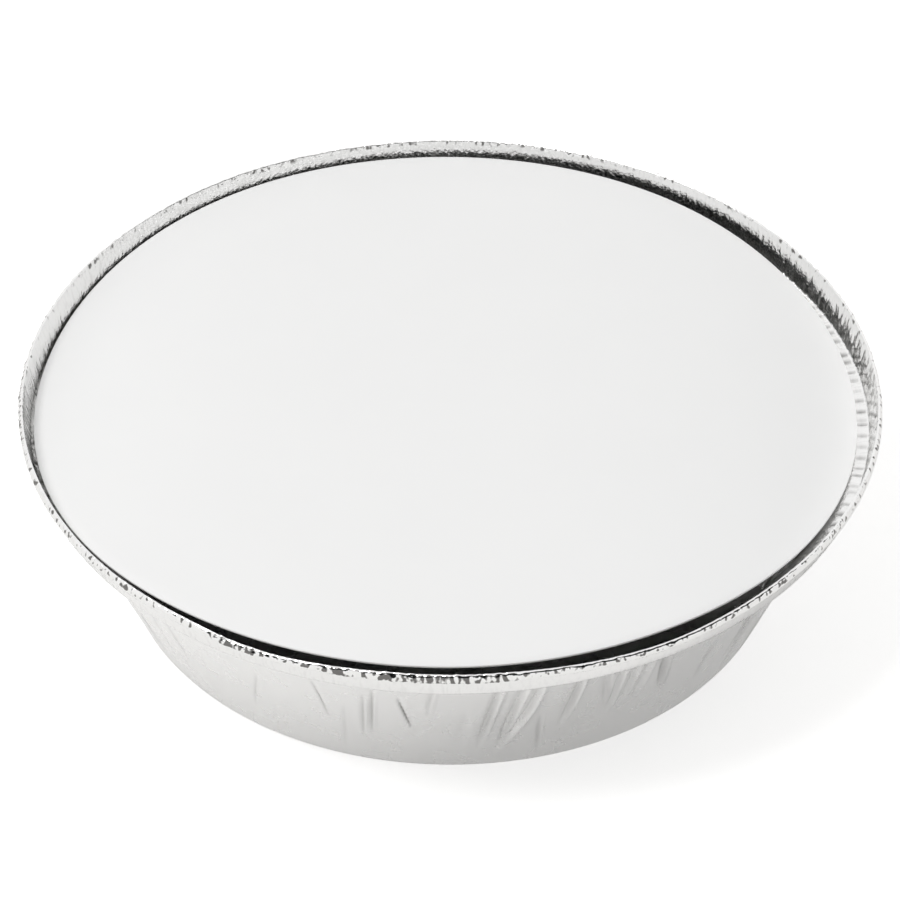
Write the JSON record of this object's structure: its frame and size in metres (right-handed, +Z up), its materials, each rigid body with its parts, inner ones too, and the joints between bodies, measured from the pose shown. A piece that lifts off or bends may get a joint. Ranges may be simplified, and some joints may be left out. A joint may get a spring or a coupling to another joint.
{
  "type": "foil pie tin with card lid",
  "caption": "Round pressed foil pie tin with a sloping wall, ledge and raised flared rim, and a flat card lid lying loose inside the rim.",
  "frame": {"origin": "centre of the round pan at the level of the foot it stands on", "axes": "+Z up along the pan's axis, +X to the right and -Y to the front as the picture shows it"},
  "size_m": [0.1811, 0.1811, 0.0435],
  "materials": {
    "foil": "satin pressed foil, brighter where crinkled",
    "card": "matt white board"
  },
  "bodies": {
    "root": {"foil_pan": "foil", "board_lid": "card"}
  },
  "joints": []
}
